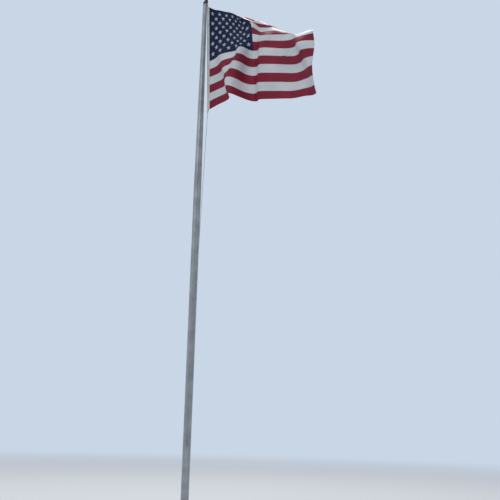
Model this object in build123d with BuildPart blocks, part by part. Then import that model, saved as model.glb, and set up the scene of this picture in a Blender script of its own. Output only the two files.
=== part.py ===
from build123d import *

import math
import os

# Shaft: a straight butt, then a straight taper up to the top
EXPOSED_HEIGHT = 10668.0
BUTT_DIAMETER = 152.4
TOP_DIAMETER = 88.9
WALL = 4.78
TAPER_LENGTH = 4191.0

# Flash collar, spun from sheet, standing on the ground round the butt
COLLAR_DIAMETER = 356.0
COLLAR_HEIGHT = 76.0
COLLAR_SHEET = 2.0
COLLAR_LIP = 8.0
COLLAR_FOOT_SLOPE = 0.9
COLLAR_NECK_SLOPE = 0.12
COLLAR_NECK_PULL = 0.9
COLLAR_SHAFT_GAP = 0.4

# Clearances
SEAT = 0.3
RUNNING = 0.1
SLIDING = 0.05

# Spindle base, plugged into the shaft's top
BASE_FLANGE_OVERHANG = 1.5
BASE_FLANGE_THICKNESS = 10.0
BASE_FLANGE_CHAMFER = 2.5
SPIGOT_LENGTH = 70.0
SPINDLE_DIAMETER = 25.4
SPINDLE_SHANK_DIAMETER = 16.0
SPINDLE_SHANK_LENGTH = 40.0
SPINDLE_LENGTH = 48.0
SPINDLE_CHAMFER = 1.5
WASHER_THICKNESS = 3.0
WASHER_DIAMETER = 60.0

# Turning truck with one sheave hung on its side
SHEAVE_AZIMUTH = -45.0
SHEAVE_DIAMETER = 64.0
SHEAVE_THICKNESS = 13.0
SHEAVE_OFFSET = 48.5
SHEAVE_RISE = 47.0
SHEAVE_SIDE_GAP = 1.0
SHEAVE_GROOVE_GAP = 0.4
ROPE_BELOW_RIM = 1.0
BUSH_DIAMETER = 18.0
AXLE_DIAMETER = 12.0
AXLE_HEAD_ACROSS_FLATS = 19.0
AXLE_HEAD_THICKNESS = 7.0
AXLE_SPINDLE_GAP = 2.75
CHEEK_THICKNESS = 5.5
CHEEK_RADIUS = 30.0
BRIDGE_HALF_WIDTH = 20.0
BRIDGE_CLEARANCE = 3.0
BRIDGE_THICKNESS = 9.0
BONNET_DIAMETER = 92.0
BONNET_SKIRT = 8.0
BONNET_MIDDLE_DIAMETER = 77.3
BONNET_MIDDLE_RISE = 49.7
BONNET_SHOULDER_DIAMETER = 40.0
BONNET_SHOULDER_RISE = 72.0
BONNET_HEIGHT = 84.0
SPINDLE_HEADROOM = 2.0
STEM_SOCKET_DEPTH = 18.0

# Ball finial
STEM_DIAMETER = 19.0
LOCKNUT_ACROSS_FLATS = 32.0
LOCKNUT_THICKNESS = 11.0
BALL_DIAMETER = 152.4
BALL_SHEET = 1.6
BALL_STANDOFF = 83.0
NECK_HEIGHT = 30.0
NECK_BASE_DIAMETER = 26.0
NECK_TOP_DIAMETER = 62.0
NECK_COLLAR_HEIGHT = 10.5
NECK_CUP_DEPTH = 15.2
STEM_PAST_BALL_CENTRE = 20.0

# Halyard rope, and the flag's hoist line from its top corner
ROPE_DIAMETER = 8.0
HOIST = 2390.0
FLY = 3600.0
HOIST_TOP_X = 54.0
HOIST_TOP_Y = -15.0
HOIST_BELOW_SHAFT_TOP = 83.0
HOIST_LEAN_X = 95.0
HOIST_LEAN_Y = -30.0

# Heading strip and its grommets
HEADING_WIDTH = 45.0
HEADING_THICKNESS = 4.0
HEADING_YAW = 29.0
GROMMET_INSET = 20.0
GROMMET_BORE = 16.0
GROMMET_OUTER_DIAMETER = 28.0
GROMMET_BARREL_WALL = 1.8
GROMMET_FLANGE = 1.3

# Snap hooks
UPPER_SNAP_SWING = 9.0
LOWER_SNAP_SWING = 15.0
SNAP_WIRE = 6.0
SNAP_HALF_WIDTH = 8.0
SNAP_BEND = 7.6
SNAP_LENGTH = 40.0
SNAP_NOSE = 13.0
SNAP_SHOULDER = 9.0
GATE_WIRE = 4.0
SWIVEL_DIAMETER = 12.0
SWIVEL_LENGTH = 8.0
EYE_RADIUS = 8.0
EYE_WIRE = 5.6
KNOT_DIAMETER = 18.0
KNOT_TURNS = 3

# Cleat on the shaft
CLEAT_AZIMUTH = -100.0
CLEAT_HEIGHT = 1390.0
CLEAT_LENGTH = 228.0
CLEAT_STANDOFF = 29.0
CLEAT_HORN_DEPTH = 14.0
CLEAT_HORN_WIDTH = 19.0
CLEAT_TIP_DEPTH = 8.0
CLEAT_TIP_WIDTH = 11.0
CLEAT_BASE_LENGTH = 84.0
CLEAT_BASE_WIDTH = 26.0
CLEAT_WAIST_LENGTH = 66.0
CLEAT_WAIST_WIDTH = 18.0
CLEAT_SCREW_SPACING = 44.0
CLEAT_SCREW_DIAMETER = 6.35
CLEAT_SCREW_HEAD_DIAMETER = 12.0
CLEAT_SCREW_HEAD_DEPTH = 4.0
CLEAT_BOW = 6.0
CLEAT_HALF_WAY_WIDTH = 16.3
CLEAT_HALF_WAY_DEPTH = 12.3
CLEAT_FOOT_SINK = 3.0
CLEAT_WAIST_SINK = 4.2
CLEAT_CORNER_SHARE = 0.45

# Runs of the halyard: straight off the sheave, out of each knot, and down onto the cleat
LEAD_STRAIGHT = 24.0
LEAD_INTO_KNOT = 9.0
HAUL_STRAIGHT = 36.0
DOWNHAUL_FROM_KNOT = 30.0
CLEAT_RUN_IN = 60.0
HITCH_SPREAD = 10.0
HITCH_ARRIVAL = 190.0
HITCH_ARRIVAL_STANDOFF = 121.0
FILLET_SHARE = 0.45

# Flag: cloth hanging in rows down the hoist. The row at the canton's foot, the seven stripes' depth down,
# runs off the heading through the folds; the rows below hang from it and the rows above lean back from it
STRIPES = 13
FLAG_THICKNESS = 3.0
CLOTH_GAP = 1.6
FLAG_COLUMNS = 180
FLAG_ROWS = 78
CANTON_ROWS = 42
SPACING_COLUMNS = 5
SPACING_ROWS = 6
SOFTEN_COLUMNS = 18
SOFTEN_ROWS = 8
FOLD_FADE = 20
# Lower half, in degrees: the headings towards the viewer at the canton's foot and at the bottom, how the
# rows sink along the fly, and the folds as (turn at the foot, turn at the bottom, place, low place, width)
FLAG_YAW = (29.5, 48.0)
FLAG_SINK = (-8.5, 67.0, -47.0)
FLAG_FOLDS = (
    (40.0, 80.0, 0.07, 0.215, 0.04),
    (85.0, 0.0, 0.27, 0.22, 0.04),
    (-88.0, -72.0, 0.36, 0.305, 0.06),
    (50.0, -45.0, 0.41, 0.39, 0.05),
    (60.0, 55.0, 0.47, 0.46, 0.035),
    (70.0, 38.0, 0.81, 0.98, 0.10),
)
LEAST_DROP = 0.15
DROP_BLEND = 0.004
# Upper half, in degrees: the lean away from the viewer at places along the fly, for bands centred so many
# stripes from the top, and how far the lean turns sideways in the top stripes
LEAN_AT = (0.0, 0.05, 0.15, 0.30, 0.36, 0.40, 0.50, 0.62, 0.70, 0.76, 0.88, 1.00)
LEAN_STRIPES = (2.5, 3.5, 4.5, 6.0)
LEANS = (
    (0, 10, 20, 27, 38, 57, 46, 52, 62, 80, 84, 84),
    (0, 10, 20, 30, 32, 26, 22, 50, 64, 80, 80, 76),
    (0, 10, 20, 32, 30, 16, 50, 36, 50, 72, 72, 64),
    (0, 10, 20, 33, 24, 0, 12, 12, 10, 8, 33, 26),
)
SIDEWAYS = (0, 0, 0, -10, -25, -32, -30, -15, -10, 0, 0, 0)
SIDEWAYS_FROM = 4.5
SIDEWAYS_FULL = 2.5
CLOTH_FIT = 5.0

butt_radius = BUTT_DIAMETER / 2
top_radius = TOP_DIAMETER / 2
taper_start = EXPOSED_HEIGHT - TAPER_LENGTH
shaft_top = EXPOSED_HEIGHT

os.makedirs("parts", exist_ok=True)


def write(builder, name):
    """Labels a finished piece and writes it as parts/name.step."""
    builder.part.label = name
    export_step(builder.part, f"parts/{name}.step")


def local_frame(origin, across, outward):
    """A plane whose X is across, whose Z is outward and whose origin is given."""
    return Plane(origin=origin, x_dir=across, z_dir=outward)


# Shaft
with BuildPart() as shaft:
    with BuildSketch(Plane.XZ):
        with BuildLine():
            Polyline(
                (butt_radius - WALL, 0),
                (butt_radius, 0),
                (butt_radius, taper_start),
                (top_radius, shaft_top),
                (top_radius - WALL, shaft_top),
                (butt_radius - WALL, taper_start),
                close=True,
            )
        make_face()
    revolve(axis=Axis.Z)

    cleat_direction = Vector(1, 0, 0).rotate(Axis.Z, CLEAT_AZIMUTH)
    cleat_across = Vector(0, 1, 0).rotate(Axis.Z, CLEAT_AZIMUTH)
    cleat_frame = local_frame((0, 0, CLEAT_HEIGHT), cleat_across, cleat_direction)
    with BuildSketch(cleat_frame.offset(butt_radius / 2)):
        with Locations((0, CLEAT_SCREW_SPACING / 2), (0, -CLEAT_SCREW_SPACING / 2)):
            Circle(CLEAT_SCREW_DIAMETER / 2 + RUNNING)
    extrude(amount=butt_radius, mode=Mode.SUBTRACT)
write(shaft, "shaft")

# Flash collar
collar_neck_radius = butt_radius + COLLAR_SHAFT_GAP
collar_rim_radius = COLLAR_DIAMETER / 2
with BuildPart() as flash_collar:
    with BuildSketch(Plane.XZ):
        with BuildLine():
            outer = Spline(
                (collar_rim_radius, COLLAR_LIP),
                (collar_neck_radius + COLLAR_SHEET, COLLAR_HEIGHT),
                tangents=[(-1, COLLAR_FOOT_SLOPE), (-COLLAR_NECK_SLOPE, 1)],
                tangent_scalars=[1.0, COLLAR_NECK_PULL],
            )
            Line(outer @ 1, (collar_neck_radius, COLLAR_HEIGHT))
            inner = Spline(
                (collar_neck_radius, COLLAR_HEIGHT),
                (collar_rim_radius - COLLAR_SHEET, COLLAR_LIP - COLLAR_SHEET / 2),
                tangents=[(COLLAR_NECK_SLOPE, -1), (1, -COLLAR_FOOT_SLOPE)],
                tangent_scalars=[COLLAR_NECK_PULL, 1.0],
            )
            Line(inner @ 1, (collar_rim_radius - COLLAR_SHEET, 0))
            Line((collar_rim_radius - COLLAR_SHEET, 0), (collar_rim_radius, 0))
            Line((collar_rim_radius, 0), (collar_rim_radius, COLLAR_LIP))
        make_face()
    revolve(axis=Axis.Z)
write(flash_collar, "flash_collar")

# Spindle base: a plug with a flange that covers the shaft's rim
flange_top = shaft_top + BASE_FLANGE_THICKNESS
with BuildPart() as spindle_base:
    with BuildSketch(Plane.XY.offset(shaft_top)):
        Circle(top_radius + BASE_FLANGE_OVERHANG)
    extrude(amount=BASE_FLANGE_THICKNESS)
    chamfer(spindle_base.edges().group_by(Axis.Z)[-1], length=BASE_FLANGE_CHAMFER)
    with BuildSketch(Plane.XY.offset(shaft_top)):
        Circle(top_radius - WALL - SEAT)
    extrude(amount=-SPIGOT_LENGTH)
    with BuildSketch(Plane.XY.offset(flange_top)):
        Circle(SPINDLE_SHANK_DIAMETER / 2 + SLIDING)
    extrude(amount=-SPINDLE_SHANK_LENGTH, mode=Mode.SUBTRACT)
write(spindle_base, "spindle_base")

# Spindle that the truck turns on
with BuildPart() as spindle:
    with BuildSketch(Plane.XY.offset(flange_top)):
        Circle(SPINDLE_SHANK_DIAMETER / 2)
    extrude(amount=-SPINDLE_SHANK_LENGTH + SEAT)
    with BuildSketch(Plane.XY.offset(flange_top)):
        Circle(SPINDLE_DIAMETER / 2)
    extrude(amount=SPINDLE_LENGTH)
    chamfer(spindle.edges().group_by(Axis.Z)[-1], length=SPINDLE_CHAMFER)
write(spindle, "spindle")

# Thrust washer between the base and the truck
with BuildPart() as thrust_washer:
    with BuildSketch(Plane.XY.offset(flange_top)):
        Circle(WASHER_DIAMETER / 2)
        Circle(SPINDLE_DIAMETER / 2 + SEAT, mode=Mode.SUBTRACT)
    extrude(amount=WASHER_THICKNESS)
write(thrust_washer, "thrust_washer")

# Turning truck: a bonnet over the spindle, with an arm that forks over the sheave
truck_bottom = flange_top + WASHER_THICKNESS + SEAT
bonnet_top = shaft_top + BONNET_HEIGHT
spindle_bore_top = flange_top + SPINDLE_LENGTH + SPINDLE_HEADROOM
sheave_direction = Vector(1, 0, 0).rotate(Axis.Z, SHEAVE_AZIMUTH)
sheave_across = Vector(0, 1, 0).rotate(Axis.Z, SHEAVE_AZIMUTH)
sheave_height = shaft_top + SHEAVE_RISE
sheave_frame = local_frame((0, 0, sheave_height), sheave_across, sheave_direction)
slot_inner = SHEAVE_OFFSET - SHEAVE_THICKNESS / 2 - SHEAVE_SIDE_GAP
slot_outer = SHEAVE_OFFSET + SHEAVE_THICKNESS / 2 + SHEAVE_SIDE_GAP
cheek_outer = slot_outer + CHEEK_THICKNESS
bridge_bottom = SHEAVE_DIAMETER / 2 + BRIDGE_CLEARANCE
bridge_top = bridge_bottom + BRIDGE_THICKNESS
axle_start = SPINDLE_DIAMETER / 2 + RUNNING + AXLE_SPINDLE_GAP + SEAT
with BuildPart() as truck_body:
    with BuildSketch(Plane.XZ):
        with BuildLine():
            lower = Polyline(
                (0, spindle_bore_top),
                (SPINDLE_DIAMETER / 2 + RUNNING, spindle_bore_top),
                (SPINDLE_DIAMETER / 2 + RUNNING, truck_bottom),
                (BONNET_DIAMETER / 2, truck_bottom),
                (BONNET_DIAMETER / 2, truck_bottom + BONNET_SKIRT),
            )
            shoulder = ThreePointArc(
                lower @ 1,
                (BONNET_MIDDLE_DIAMETER / 2, shaft_top + BONNET_MIDDLE_RISE),
                (BONNET_SHOULDER_DIAMETER / 2, shaft_top + BONNET_SHOULDER_RISE),
            )
            Polyline(
                shoulder @ 1,
                (BONNET_SHOULDER_DIAMETER / 2, bonnet_top),
                (STEM_DIAMETER / 2 + RUNNING, bonnet_top),
                (STEM_DIAMETER / 2 + RUNNING, bonnet_top - STEM_SOCKET_DEPTH),
                (0, bonnet_top - STEM_SOCKET_DEPTH),
                (0, spindle_bore_top),
            )
        make_face()
    revolve(axis=Axis.Z)

    with BuildSketch(sheave_frame.offset(BONNET_SHOULDER_DIAMETER / 2)):
        Circle(CHEEK_RADIUS)
        with BuildLine():
            Polyline(
                (-CHEEK_RADIUS, 0),
                (CHEEK_RADIUS, 0),
                (BRIDGE_HALF_WIDTH, bridge_top),
                (-BRIDGE_HALF_WIDTH, bridge_top),
                close=True,
            )
        make_face()
    extrude(amount=cheek_outer - BONNET_SHOULDER_DIAMETER / 2)
    with BuildSketch(sheave_frame.offset(slot_inner)):
        with Locations((0, bridge_bottom)):
            Rectangle(BONNET_DIAMETER * 2, SHEAVE_DIAMETER * 2, align=(Align.CENTER, Align.MAX))
    extrude(amount=slot_outer - slot_inner, mode=Mode.SUBTRACT)
    with BuildSketch(sheave_frame.offset(axle_start - SEAT)):
        Circle(AXLE_DIAMETER / 2 + RUNNING)
    extrude(amount=cheek_outer, mode=Mode.SUBTRACT)
write(truck_body, "truck_body")

# Sheave, its bush and its axle bolt
groove_radius = ROPE_DIAMETER / 2 + SHEAVE_GROOVE_GAP
pitch_radius = SHEAVE_DIAMETER / 2 - ROPE_DIAMETER / 2 - ROPE_BELOW_RIM
with BuildPart() as sheave:
    with BuildSketch(sheave_frame.offset(SHEAVE_OFFSET - SHEAVE_THICKNESS / 2)):
        Circle(SHEAVE_DIAMETER / 2)
        Circle(BUSH_DIAMETER / 2 + SLIDING, mode=Mode.SUBTRACT)
    extrude(amount=SHEAVE_THICKNESS)
    groove_frame = Plane(
        origin=sheave_frame.from_local_coords((0, 0, SHEAVE_OFFSET)),
        x_dir=sheave_across,
        z_dir=Vector(0, 0, 1),
    )
    sheave_axis = Axis(sheave_frame.from_local_coords((0, 0, SHEAVE_OFFSET)), sheave_direction)
    with BuildSketch(groove_frame):
        with Locations((pitch_radius, 0)):
            Circle(groove_radius)
            Rectangle(
                SHEAVE_DIAMETER,
                2 * groove_radius,
                align=(Align.MIN, Align.CENTER),
            )
    revolve(axis=sheave_axis, mode=Mode.SUBTRACT)
write(sheave, "sheave")

with BuildPart() as sheave_bush:
    with BuildSketch(sheave_frame.offset(SHEAVE_OFFSET - SHEAVE_THICKNESS / 2)):
        Circle(BUSH_DIAMETER / 2)
        Circle(AXLE_DIAMETER / 2 + SLIDING, mode=Mode.SUBTRACT)
    extrude(amount=SHEAVE_THICKNESS)
write(sheave_bush, "sheave_bush")

with BuildPart() as sheave_axle:
    with BuildSketch(sheave_frame.offset(axle_start)):
        Circle(AXLE_DIAMETER / 2)
    extrude(amount=cheek_outer - axle_start)
    with BuildSketch(sheave_frame.offset(cheek_outer)):
        RegularPolygon(AXLE_HEAD_ACROSS_FLATS / 2, 6, major_radius=False)
    extrude(amount=AXLE_HEAD_THICKNESS)
write(sheave_axle, "sheave_axle")

# Ball finial: stem, locknut, neck and ball
ball_radius = BALL_DIAMETER / 2
ball_centre = bonnet_top + BALL_STANDOFF + ball_radius
with BuildPart() as finial_stem:
    with BuildSketch(Plane.XY.offset(bonnet_top - STEM_SOCKET_DEPTH + SEAT)):
        Circle(STEM_DIAMETER / 2)
    extrude(amount=ball_centre + STEM_PAST_BALL_CENTRE - bonnet_top + STEM_SOCKET_DEPTH)
write(finial_stem, "finial_stem")

with BuildPart() as finial_locknut:
    with BuildSketch(Plane.XY.offset(bonnet_top)):
        RegularPolygon(LOCKNUT_ACROSS_FLATS / 2, 6, major_radius=False)
        Circle(STEM_DIAMETER / 2 + RUNNING, mode=Mode.SUBTRACT)
    extrude(amount=LOCKNUT_THICKNESS)
write(finial_locknut, "finial_locknut")

neck_bottom = ball_centre - ball_radius - NECK_HEIGHT
cup_top = ball_centre - ball_radius + NECK_CUP_DEPTH
with BuildPart() as finial_neck:
    with BuildSketch(Plane.XZ):
        with BuildLine():
            Polyline(
                (STEM_DIAMETER / 2 + RUNNING, neck_bottom),
                (NECK_BASE_DIAMETER / 2, neck_bottom),
                (NECK_BASE_DIAMETER / 2, neck_bottom + NECK_COLLAR_HEIGHT),
                (NECK_TOP_DIAMETER / 2, neck_bottom + NECK_HEIGHT),
                (NECK_TOP_DIAMETER / 2, cup_top),
                (STEM_DIAMETER / 2 + RUNNING, cup_top),
                close=True,
            )
        make_face()
    revolve(axis=Axis.Z)
    with Locations((0, 0, ball_centre)):
        Sphere(ball_radius + SEAT, mode=Mode.SUBTRACT)
write(finial_neck, "finial_neck")

with BuildPart() as finial_ball:
    with Locations((0, 0, ball_centre)):
        Sphere(ball_radius)
        Sphere(ball_radius - BALL_SHEET, mode=Mode.SUBTRACT)
    with BuildSketch(Plane.XY.offset(neck_bottom)):
        Circle(STEM_DIAMETER / 2 + RUNNING)
    extrude(amount=NECK_HEIGHT + ball_radius / 2, mode=Mode.SUBTRACT)
write(finial_ball, "finial_ball")

# Heading strip along the hoist, in the plane of the hoist line and the cloth's first heading
hoist_vector = Vector(
    HOIST_LEAN_X,
    HOIST_LEAN_Y,
    -math.sqrt(HOIST**2 - HOIST_LEAN_X**2 - HOIST_LEAN_Y**2),
)
hoist_top = Vector(HOIST_TOP_X, HOIST_TOP_Y, shaft_top - HOIST_BELOW_SHAFT_TOP)
down = hoist_vector.normalized()
first_heading = Vector(1, 0, 0).rotate(Axis.Z, -HEADING_YAW)
fly_direction = (first_heading - down * first_heading.dot(down)).normalized()
heading_normal = fly_direction.cross(-down)
heading_frame = local_frame(hoist_top, fly_direction, heading_normal)
grommet_places = ((GROMMET_INSET, -GROMMET_INSET), (GROMMET_INSET, GROMMET_INSET - HOIST))
with BuildPart() as heading_strip:
    with BuildSketch(heading_frame.offset(-HEADING_THICKNESS / 2)):
        Rectangle(HEADING_WIDTH, HOIST, align=(Align.MIN, Align.MAX))
        with Locations(*grommet_places):
            Circle(GROMMET_BORE / 2 + GROMMET_BARREL_WALL + RUNNING, mode=Mode.SUBTRACT)
    extrude(amount=HEADING_THICKNESS)
write(heading_strip, "heading_strip")

# Grommets: a barrel through the heading with a flange on each side
flange_seat = HEADING_THICKNESS / 2 + RUNNING
for name, place in zip(("grommet_top", "grommet_bottom"), grommet_places):
    with BuildPart() as grommet:
        with BuildSketch(heading_frame.offset(-flange_seat - GROMMET_FLANGE)):
            with Locations(place):
                Circle(GROMMET_OUTER_DIAMETER / 2)
        extrude(amount=GROMMET_FLANGE)
        with BuildSketch(heading_frame.offset(flange_seat)):
            with Locations(place):
                Circle(GROMMET_OUTER_DIAMETER / 2)
        extrude(amount=GROMMET_FLANGE)
        with BuildSketch(heading_frame.offset(-flange_seat)):
            with Locations(place):
                Circle(GROMMET_BORE / 2 + GROMMET_BARREL_WALL)
        extrude(amount=2 * flange_seat)
        with BuildSketch(heading_frame.offset(-flange_seat - GROMMET_FLANGE)):
            with Locations(place):
                Circle(GROMMET_BORE / 2)
        extrude(amount=2 * (flange_seat + GROMMET_FLANGE), mode=Mode.SUBTRACT)
    write(grommet, name)

# Snap hooks between the halyard and the grommets
inner_bend = SNAP_BEND - SNAP_WIRE / 2
bar_sag = inner_bend - math.sqrt(inner_bend**2 - (flange_seat + GROMMET_FLANGE) ** 2)
bar_lift = GROMMET_BORE / 2 - SNAP_WIRE / 2 - bar_sag - SEAT


def snap_frame(place, up_or_down, swing):
    """A snap's frame: its origin at the swivel's hook end, Y towards the grommet, X through the cloth."""
    along = heading_frame.y_dir * (up_or_down * math.cos(math.radians(swing)))
    direction = along - heading_frame.x_dir * math.sin(math.radians(swing))
    grommet_centre = heading_frame.from_local_coords((place[0], place[1], 0))
    origin = grommet_centre + direction * (bar_lift + SNAP_LENGTH)
    return Plane(origin=origin, x_dir=heading_normal, z_dir=heading_normal.cross(-direction))


def build_snap(name, frame):
    """Writes one snap hook: its hook, its gate and its swivel with an eye."""
    with BuildPart() as hook:
        with BuildLine(frame):
            path = FilletPolyline(
                (0, 0),
                (-SNAP_HALF_WIDTH, SNAP_SHOULDER),
                (-SNAP_HALF_WIDTH, SNAP_LENGTH),
                (SNAP_HALF_WIDTH, SNAP_LENGTH),
                (SNAP_HALF_WIDTH, SNAP_LENGTH - SNAP_NOSE),
                radius=[SNAP_BEND / 2, SNAP_BEND, SNAP_BEND],
            )
        with BuildSketch(Plane(origin=path @ 0, z_dir=path % 0)):
            Circle(SNAP_WIRE / 2)
        sweep(path=path)
        with BuildSketch(Plane(origin=frame.from_local_coords((0, SNAP_WIRE / 2, 0)), z_dir=-frame.y_dir)):
            Circle(SWIVEL_DIAMETER / 2)
        extrude(amount=SNAP_WIRE)
    write(hook, f"{name}_hook")

    nose = frame.from_local_coords((SNAP_HALF_WIDTH, SNAP_LENGTH - SNAP_NOSE - SEAT, 0))
    root = frame.from_local_coords((SWIVEL_DIAMETER / 2 - GATE_WIRE / 4, SNAP_WIRE / 2 + 2 * SEAT, 0))
    with BuildPart() as gate:
        with BuildSketch(Plane(origin=root, z_dir=nose - root)):
            Circle(GATE_WIRE / 2)
        extrude(amount=(nose - root).length)
    write(gate, f"{name}_gate")

    swivel_start = frame.from_local_coords((0, -SNAP_WIRE / 2 - SEAT, 0))
    eye_centre = frame.from_local_coords((0, -SWIVEL_LENGTH - EYE_RADIUS, 0))
    with BuildPart() as swivel:
        with BuildSketch(Plane(origin=swivel_start, z_dir=-frame.y_dir)):
            Circle(SWIVEL_DIAMETER / 2)
        extrude(amount=SWIVEL_LENGTH - SNAP_WIRE / 2)
        with Locations(Plane(origin=eye_centre, z_dir=frame.x_dir).location):
            Torus(EYE_RADIUS, EYE_WIRE / 2)
    write(swivel, f"{name}_swivel")


def build_knot(name, centre, axis):
    """Writes a knot: a few round turns of rope drawn tight about the line."""
    turn_radius = KNOT_DIAMETER / 2 - ROPE_DIAMETER / 2
    with BuildPart() as knot:
        with BuildSketch(Plane(origin=centre - axis * (knot_length / 2), z_dir=axis)):
            Circle(turn_radius)
        extrude(amount=knot_length)
        for turn in range(KNOT_TURNS):
            middle = centre + axis * (ROPE_DIAMETER * (turn + 0.5) - knot_length / 2)
            with Locations(Plane(origin=middle, z_dir=axis).location):
                Torus(turn_radius, ROPE_DIAMETER / 2 - SLIDING)
    write(knot, name)


upper_snap = snap_frame(grommet_places[0], 1, UPPER_SNAP_SWING)
lower_snap = snap_frame(grommet_places[1], -1, LOWER_SNAP_SWING)
build_snap("upper_snap", upper_snap)
build_snap("lower_snap", lower_snap)
knot_length = KNOT_TURNS * ROPE_DIAMETER
knot_reach = SWIVEL_LENGTH + 2 * EYE_RADIUS + EYE_WIRE / 2 + SEAT + knot_length / 2
upper_knot_centre = upper_snap.from_local_coords((0, -knot_reach, 0))
lower_knot_centre = lower_snap.from_local_coords((0, -knot_reach, 0))
upper_knot_axis = -upper_snap.y_dir
lower_knot_axis = -lower_snap.y_dir
build_knot("upper_knot", upper_knot_centre, upper_knot_axis)
build_knot("lower_knot", lower_knot_centre, lower_knot_axis)

# Cleat: two horns on a waisted foot that fits the shaft, with two screws
horn_middle = butt_radius + CLEAT_STANDOFF + CLEAT_HORN_DEPTH / 2
half_length = CLEAT_LENGTH / 2
horn_sections = (
    (-half_length, CLEAT_TIP_WIDTH, CLEAT_TIP_DEPTH, CLEAT_BOW),
    (-half_length / 2, CLEAT_HALF_WAY_WIDTH, CLEAT_HALF_WAY_DEPTH, CLEAT_BOW / 4),
    (0, CLEAT_HORN_WIDTH, CLEAT_HORN_DEPTH, 0),
    (half_length / 2, CLEAT_HALF_WAY_WIDTH, CLEAT_HALF_WAY_DEPTH, CLEAT_BOW / 4),
    (half_length, CLEAT_TIP_WIDTH, CLEAT_TIP_DEPTH, CLEAT_BOW),
)
horn_foot_frame = cleat_frame.offset(butt_radius - CLEAT_FOOT_SINK)
with BuildPart() as cleat:
    for height, width, depth, bow in horn_sections:
        section_origin = cleat_frame.from_local_coords((0, height, horn_middle + bow))
        with BuildSketch(Plane(origin=section_origin, x_dir=cleat_across, z_dir=Vector(0, 0, 1))):
            Ellipse(width / 2, depth / 2)
    loft()
    with BuildSketch(horn_foot_frame):
        RectangleRounded(CLEAT_BASE_WIDTH, CLEAT_BASE_LENGTH, CLEAT_BASE_WIDTH * CLEAT_CORNER_SHARE)
    with BuildSketch(cleat_frame.offset(horn_middle - CLEAT_WAIST_SINK)):
        RectangleRounded(CLEAT_WAIST_WIDTH, CLEAT_WAIST_LENGTH, CLEAT_WAIST_WIDTH * CLEAT_CORNER_SHARE)
    loft()
    Cylinder(butt_radius + SEAT / 3, EXPOSED_HEIGHT, mode=Mode.SUBTRACT)
    with BuildSketch(cleat_frame.offset(butt_radius / 2)):
        with Locations((0, CLEAT_SCREW_SPACING / 2), (0, -CLEAT_SCREW_SPACING / 2)):
            Circle(CLEAT_SCREW_DIAMETER / 2 + RUNNING)
    extrude(amount=butt_radius + CLEAT_STANDOFF, mode=Mode.SUBTRACT)
    with BuildSketch(cleat_frame.offset(horn_middle + CLEAT_HORN_DEPTH / 2 - CLEAT_SCREW_HEAD_DEPTH)):
        with Locations((0, CLEAT_SCREW_SPACING / 2), (0, -CLEAT_SCREW_SPACING / 2)):
            Circle(CLEAT_SCREW_HEAD_DIAMETER / 2 + RUNNING)
    extrude(amount=CLEAT_SCREW_HEAD_DEPTH * 2, mode=Mode.SUBTRACT)
write(cleat, "cleat")

screw_head_seat = horn_middle + CLEAT_HORN_DEPTH / 2 - CLEAT_SCREW_HEAD_DEPTH
for name, side in (("cleat_screw_upper", 1), ("cleat_screw_lower", -1)):
    with BuildPart() as cleat_screw:
        with BuildSketch(cleat_frame.offset(screw_head_seat)):
            with Locations((0, side * CLEAT_SCREW_SPACING / 2)):
                Circle(CLEAT_SCREW_HEAD_DIAMETER / 2)
        extrude(amount=CLEAT_SCREW_HEAD_DEPTH)
        with BuildSketch(cleat_frame.offset(screw_head_seat)):
            with Locations((0, side * CLEAT_SCREW_SPACING / 2)):
                Circle(CLEAT_SCREW_DIAMETER / 2)
        extrude(amount=-(screw_head_seat - butt_radius + 2 * WALL))
    write(cleat_screw, name)


def corner_radii(points):
    """A fillet for each corner that takes up the same share of the shorter run beside it."""
    radii = []
    for before, corner, after in zip(points, points[1:], points[2:]):
        turn = (corner - before).get_angle(after - corner)
        shorter = min((corner - before).length, (after - corner).length)
        radii.append(FILLET_SHARE * shorter / math.tan(math.radians(turn) / 2))
    return radii


def build_rope(name, points):
    """Writes a rope as a tube along straight runs joined by tangent arcs."""
    radii = corner_radii(points)
    print(name, "radii", [round(r, 1) for r in radii])
    with BuildPart() as rope:
        with BuildLine():
            path = FilletPolyline(*points, radius=radii)
        with BuildSketch(Plane(origin=path @ 0, z_dir=path % 0)):
            Circle(ROPE_DIAMETER / 2)
        sweep(path=path)
    section = math.pi * (ROPE_DIAMETER / 2) ** 2
    print(name, "length", round(path.length, 1), "volume over section", round(rope.part.volume / section, 1))
    write(rope, name)


# Halyard over the sheave, then down each side
crown_frame = sheave_frame.offset(SHEAVE_OFFSET)
with BuildPart() as halyard_crown:
    with BuildLine(crown_frame):
        crown = CenterArc((0, 0), pitch_radius, 0, 180)
    with BuildSketch(Plane(origin=crown @ 0, z_dir=crown % 0)):
        Circle(ROPE_DIAMETER / 2)
    sweep(path=crown)
write(halyard_crown, "halyard_crown")

flag_side = crown_frame.from_local_coords((pitch_radius, 0, 0))
haul_side = crown_frame.from_local_coords((-pitch_radius, 0, 0))
knot_end = upper_knot_centre + upper_knot_axis * (knot_length / 2)
build_rope(
    "halyard_lead",
    [
        flag_side,
        flag_side + Vector(0, 0, -LEAD_STRAIGHT),
        knot_end + upper_knot_axis * LEAD_INTO_KNOT,
        knot_end,
    ],
)

beside = heading_normal * (KNOT_DIAMETER / 2 + ROPE_DIAMETER / 2 + SEAT)
span_top = upper_knot_centre + upper_knot_axis * (knot_length / 2) + beside
span_bottom = lower_knot_centre + lower_knot_axis * (knot_length / 2) + beside
with BuildPart() as halyard_span:
    with BuildSketch(Plane(origin=span_top, z_dir=span_bottom - span_top)):
        Circle(ROPE_DIAMETER / 2)
    extrude(amount=(span_bottom - span_top).length)
write(halyard_span, "halyard_span")

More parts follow.
